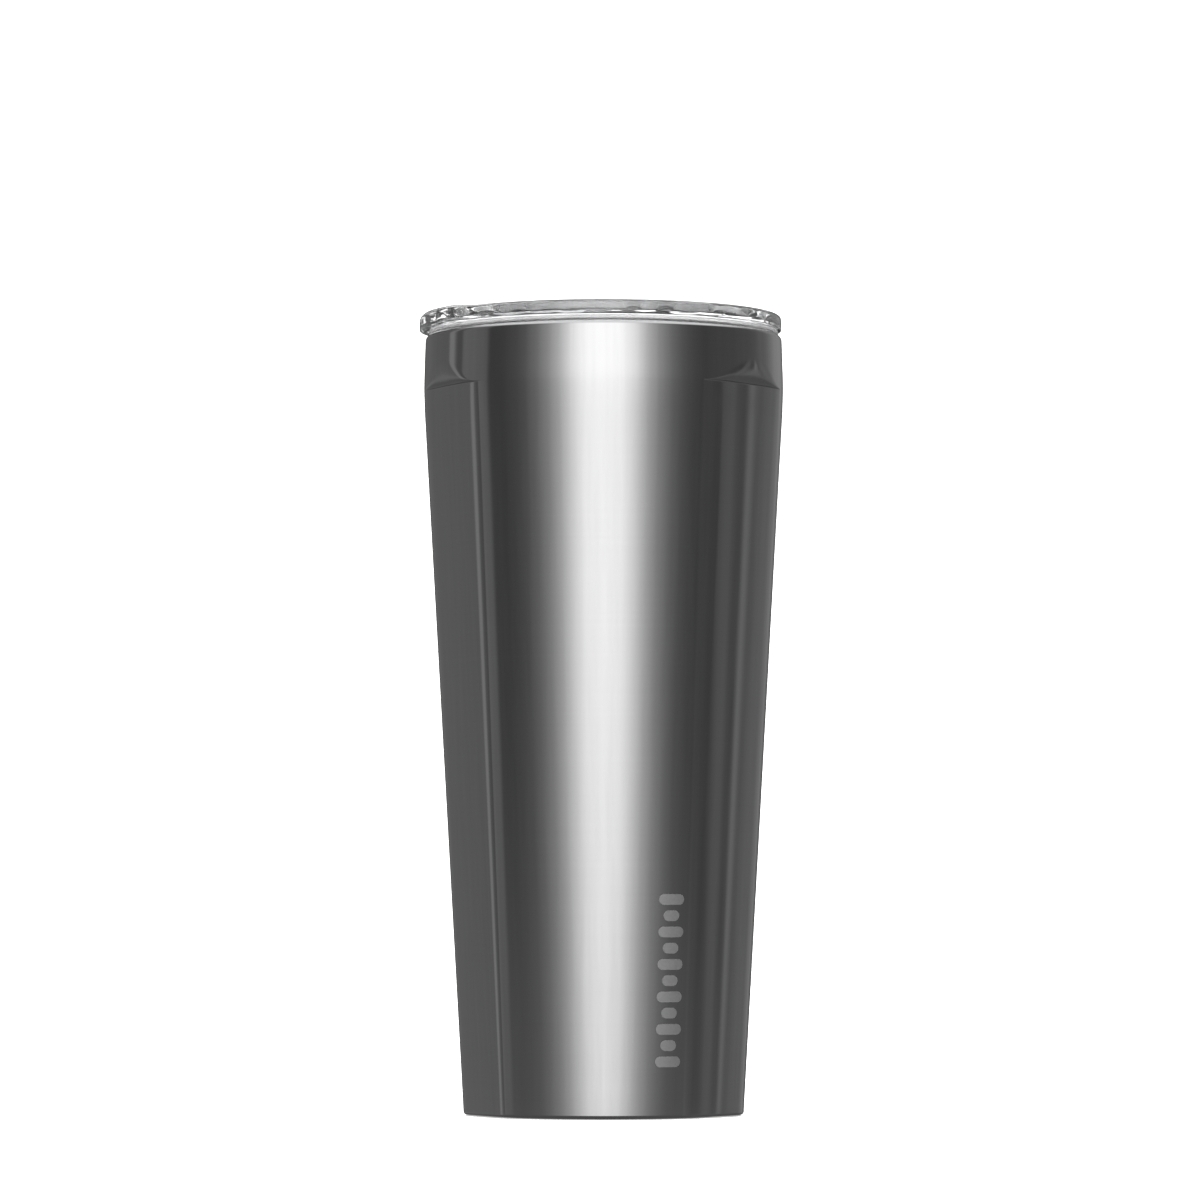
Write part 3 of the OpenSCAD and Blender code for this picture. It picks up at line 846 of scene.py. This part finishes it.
# Plain etched mark, a column of short bars low on the front
markSet = {
    "azimuth": 26.0,         # degrees to the right of the front
    "low": 12.0,             # heights between which the column stands
    "high": 55.0,
    "width": 6.7,
    "bars": 11,
    "fill": 0.66,            # share of the pitch that a bar takes
    "short": 0.62,           # length of every other bar, as a share
    "proud": 0.02,           # above the steel, and how far it goes in
    "deep": 0.06,
    "strips": 20,            # across one bar
}


def makeMark():
    # each bar is a thin closed shell that follows the steel, in narrow upright strips
    s = markSet
    points, faces = [], []
    pitch = (s["high"] - s["low"]) / s["bars"]
    strips = s["strips"]
    for bar in range(s["bars"]):
        middle = s["low"] + pitch * (bar + 0.5)
        half = s["width"] / 2 * (1 if bar % 2 == 0 else s["short"])
        tall = pitch * s["fill"] / 2
        base = len(points)
        for strip in range(strips + 1):
            u = -half * math.cos(math.pi * strip / strips)
            into = max(0, abs(u) - half + tall)
            rise = max(0.02, math.sqrt(max(0, tall ** 2 - into ** 2)))
            proud, deep = s["proud"], -s["deep"]
            for v, layer in ((-rise, proud), (rise, proud), (rise, deep), (-rise, deep)):
                z = middle + v
                angle = -90 + s["azimuth"] + math.degrees(u / formRadius(z))
                reach = bodyRadius(z, angle) + layer
                turn = math.radians(angle)
                points.append((reach * math.cos(turn), reach * math.sin(turn), z))
        for strip in range(strips):
            low, high = base + 4 * strip, base + 4 * strip + 4
            for k in range(4):
                faces.append((low + k, high + k, high + (k + 1) % 4, low + (k + 1) % 4))
        faces.append((base + 3, base + 2, base + 1, base))
        last = base + 4 * strips
        faces.append((last, last + 1, last + 2, last + 3))
    mark = meshObject("etchedMark", points, faces)
    finishPiece(mark, "vessel", "mark", "shell_steel")


makeMark()
print("mark made")

# Studio: pale sweep, soft light from above and a band of panels all round
sweepSet = {"front": -6.0, "bend": 3.0, "radius": 2.0, "width": 9.0, "wall": 6.0}    # metres


def makeSweep():
    s = sweepSet
    line = [(s["front"], 0.0), (-1.0, 0.0), (0.5, 0.0)]
    line += [(s["bend"] + s["radius"] * math.sin(a), s["radius"] * (1 - math.cos(a)))
             for a in quarterTurn(24)]
    line.append((s["bend"] + s["radius"], s["wall"]))
    points = [(x / mm, y / mm, z / mm) for y, z in line for x in (-s["width"], s["width"])]
    faces = [(2 * k, 2 * k + 1, 2 * k + 3, 2 * k + 2) for k in range(len(line) - 1)]
    sweep = meshObject("studioSweep", points, faces)
    material, tree, shader = startMaterial("paleSweep", {
        "Base Color": (0.93, 0.93, 0.93, 1), "Roughness": 0.9, "Specular IOR Level": 0.0,
        "Emission Color": (1, 1, 1, 1), "Emission Strength": 0.45,
    })
    sweep.data.materials.append(material)
    sweep.visible_glossy = False


makeSweep()

# How bright the studio is. Each row is the azimuth from the front and the brightness there
# at three heights: a little above the horizon, just under it, and lower down
studioSet = {
    "topPower": 60.0,
    "topSize": 3.0,
    "topPlace": (0, -0.3, 3.2),
    "ceiling": 2.2,
    "ceilingEase": (0.5, 0.8),         # heights between which one brightness goes over to the next
    "aboveEase": (0.0, 0.12),
    "belowEase": (-0.06, -0.15),
    "floorEase": (-0.17, -0.3),
    "floor": 0.2,
    "front": (
        (0, 3.4, 3.1, 2.4), (12, 3.2, 2.9, 2.0), (20, 2.5, 2.1, 1.35), (28, 1.45, 1.2, 0.88),
        (36, 0.82, 0.66, 0.58), (44, 0.46, 0.37, 0.41), (52, 0.26, 0.22, 0.3), (60, 0.18, 0.155, 0.28),
    ),
    "left": (
        (68, 0.14, 0.125, 0.27), (78, 0.13, 0.135, 0.29), (81, 0.28, 0.3, 0.3), (96, 0.34, 0.33, 0.34),
        (102, 0.34, 0.33, 0.34), (104, 0.19, 0.19, 0.3), (108, 0.19, 0.19, 0.3), (110, 0.26, 0.26, 0.36),
        (113, 0.5, 0.5, 0.5), (117, 0.5, 0.5, 0.5), (119, 0.26, 0.27, 0.34), (130, 0.25, 0.27, 0.34),
        (152, 0.22, 0.24, 0.32), (166, 0.15, 0.13, 0.22), (174, 0.07, 0.05, 0.1), (180, 0.04, 0.03, 0.05),
    ),
    "right": (
        (68, 0.14, 0.13, 0.29), (78, 0.16, 0.155, 0.33), (92, 0.17, 0.15, 0.29), (102, 0.19, 0.13, 0.26),
        (105.5, 0.19, 0.13, 0.27), (107, 0.19, 0.25, 0.29), (109, 0.19, 0.27, 0.3), (110.5, 0.2, 0.17, 0.27),
        (112.4, 0.21, 0.13, 0.27), (113.2, 0.21, 0.44, 0.36), (114.2, 0.21, 0.44, 0.36),
        (115, 0.22, 0.2, 0.28), (118, 0.25, 0.31, 0.28), (121, 0.27, 0.32, 0.29), (124, 0.27, 0.31, 0.29),
        (128, 0.29, 0.32, 0.28), (136, 0.38, 0.38, 0.3), (144, 0.46, 0.38, 0.28), (156, 0.4, 0.3, 0.24),
        (164, 0.26, 0.18, 0.16), (172, 0.13, 0.08, 0.1), (180, 0.05, 0.04, 0.05),
    ),
}


def makeStudio():
    world = bpy.data.worlds.new("studioWorld")
    world.use_nodes = True
    bpy.context.scene.world = world
    tree = world.node_tree
    background = tree.nodes["Background"]
    peak = max(row[1] for row in studioSet["front"])

    def mathNode(operation, first, second):
        node = tree.nodes.new("ShaderNodeMath")
        node.operation = operation
        for socket, value in zip(node.inputs, (first, second)):
            if isinstance(value, (int, float)):
                socket.default_value = value
            else:
                tree.links.new(value, socket)
        return node.outputs["Value"]

    def blend(share, first, second):
        node = tree.nodes.new("ShaderNodeMix")
        node.data_type = "RGBA"
        tree.links.new(share, node.inputs["Factor"])
        for socket, value in ((node.inputs["A"], first), (node.inputs["B"], second)):
            if isinstance(value, (int, float)):
                socket.default_value = (value / peak, value / peak, value / peak, 1)
            else:
                tree.links.new(value, socket)
        return node.outputs["Result"]

    def ease(value, low, high):
        node = tree.nodes.new("ShaderNodeMapRange")
        node.interpolation_type = "SMOOTHSTEP"
        node.inputs["From Min"].default_value = low
        node.inputs["From Max"].default_value = high
        tree.links.new(value, node.inputs["Value"])
        return node.outputs["Result"]

    def ring(turn, rows, column):
        # brightness round the studio at one height
        ramp = tree.nodes.new("ShaderNodeValToRGB")
        stops = ramp.color_ramp.elements
        while len(stops) < len(rows):
            stops.new(0.5)
        for stop, row in zip(stops, rows):
            stop.position = row[0] / 180
            tone = row[column] / peak
            stop.color = (tone, tone, tone, 1)
        tree.links.new(turn, ramp.inputs["Fac"])
        return ramp.outputs["Color"]

    coords = tree.nodes.new("ShaderNodeTexCoord")
    apart = tree.nodes.new("ShaderNodeSeparateXYZ")
    tree.links.new(coords.outputs["Generated"], apart.inputs["Vector"])
    x, y, z = apart.outputs
    azimuth = mathNode("ARCTAN2", mathNode("ABSOLUTE", x, 0), mathNode("MULTIPLY", y, -1))
    turn = mathNode("DIVIDE", azimuth, math.pi)
    onRight = mathNode("GREATER_THAN", x, 0)
    levels = []
    for column in (1, 2, 3):
        sides = [ring(turn, studioSet["front"] + studioSet[side], column) for side in ("left", "right")]
        levels.append(blend(onRight, *sides))
    panels = blend(ease(z, *studioSet["aboveEase"]), levels[1], levels[0])
    panels = blend(ease(z, *studioSet["belowEase"]), panels, levels[2])
    withCeiling = blend(ease(z, *studioSet["ceilingEase"]), panels, studioSet["ceiling"])
    whole = blend(ease(z, *studioSet["floorEase"]), withCeiling, studioSet["floor"])
    tree.links.new(whole, background.inputs["Color"])
    background.inputs["Strength"].default_value = peak
    topData = bpy.data.lights.new("topPanel", "AREA")
    topData.energy = studioSet["topPower"]
    topData.size = studioSet["topSize"]
    topPanel = bpy.data.objects.new("topPanel", topData)
    topPanel.location = studioSet["topPlace"]
    bpy.context.collection.objects.link(topPanel)
    topPanel.visible_glossy = False


makeStudio()
print("studio lit")
